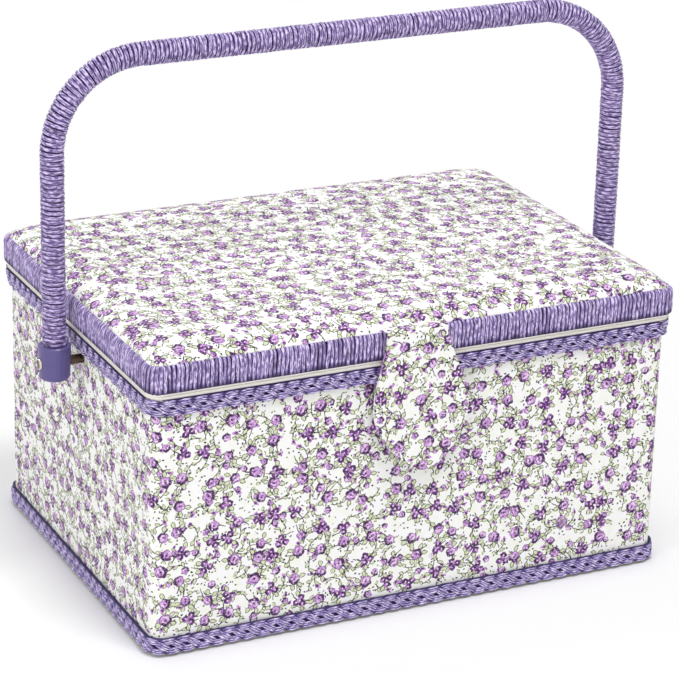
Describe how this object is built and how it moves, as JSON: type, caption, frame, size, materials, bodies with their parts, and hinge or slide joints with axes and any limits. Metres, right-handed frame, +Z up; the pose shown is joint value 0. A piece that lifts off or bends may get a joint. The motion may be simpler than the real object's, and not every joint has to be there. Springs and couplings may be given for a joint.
{
  "type": "sewing basket",
  "caption": "Cloth-covered sewing basket with a padded hinged lid, fold-over tab catch, swinging wound handle and lift-out tray.",
  "frame": {"origin": "middle of the underside of the box, on the surface it stands on", "axes": "+X to the right along the long front face, +Y from the front towards the hinged back, +Z up"},
  "size_m": [0.3682, 0.2345, 0.3132],
  "materials": {
    "board": "matt grey board",
    "base_paper": "matt",
    "printed_cotton": "woven, floral print on white",
    "satin_lining": "soft satin",
    "cream_binding": "woven",
    "lilac_cord": "wound and plaited paper cord with a slight sheen",
    "foam": "matt",
    "cane": "matt",
    "purple_moulding": "satin",
    "plated_steel": "bright nickel",
    "brass_sleeve": "dulled",
    "tray_moulding": "satin"
  },
  "bodies": {
    "basket": {"base_board": "board", "base_cover": "base_paper", "wall_front": "board", "wall_back": "board", "wall_left": "board", "wall_right": "board", "outer_cover": "printed_cotton", "lining_walls": "satin_lining", "lining_base": "satin_lining", "body_binding": "cream_binding", "braid_top": "lilac_cord", "braid_bottom": "lilac_cord", "magnet_plate": "plated_steel", "tray_ledge_left": "satin_lining", "tray_ledge_right": "satin_lining", "hinge_cloth_body": "cream_binding", "pivot_screw_left": "plated_steel", "pivot_screw_right": "plated_steel", "spacer_left": "brass_sleeve", "spacer_right": "brass_sleeve", "washer_left": "plated_steel", "washer_right": "plated_steel", "nut_left": "plated_steel", "nut_right": "plated_steel"},
    "lid": {"lid_board": "board", "rim_strip": "board", "rim_winding": "lilac_cord", "lid_pad": "foam", "lid_cover": "printed_cotton", "lid_lining": "satin_lining", "lid_binding": "cream_binding", "pincushion": "satin_lining", "hinge_cloth_lid": "cream_binding", "tab_root": "printed_cotton"},
    "tab": {"tab_cover": "printed_cotton", "tab_card": "board", "tab_lining": "satin_lining", "tab_magnet": "plated_steel"},
    "handle": {"handle_core": "cane", "handle_winding": "lilac_cord", "handle_cap_left": "purple_moulding", "handle_cap_right": "purple_moulding"},
    "tray": {"tray": "tray_moulding"}
  },
  "joints": [
    {"name": "lid_hinge", "type": "hinge", "parent": "basket", "child": "lid", "pos_m": [0, 0.116, 0.1525], "axis": [-1, 0, 0], "range_deg": [0, 100]},
    {"name": "tab_fold", "type": "hinge", "parent": "lid", "child": "tab", "pos_m": [-0.006, -0.1161, 0.1707], "axis": [-1, 0, 0], "range_deg": [0, 90]},
    {"name": "handle_swing", "type": "hinge", "parent": "basket", "child": "handle", "pos_m": [0, -0.01, 0.1365], "axis": [-1, 0, 0], "range_deg": [-120, 120]},
    {"name": "tray_lift", "type": "slide", "parent": "basket", "child": "tray", "axis": [0, 0, 1], "range_m": [0, 0.009]}
  ],
  "couplings": [
    {"joint": "handle_swing", "follows": "lid_hinge", "ratio": -1.2}
  ]
}
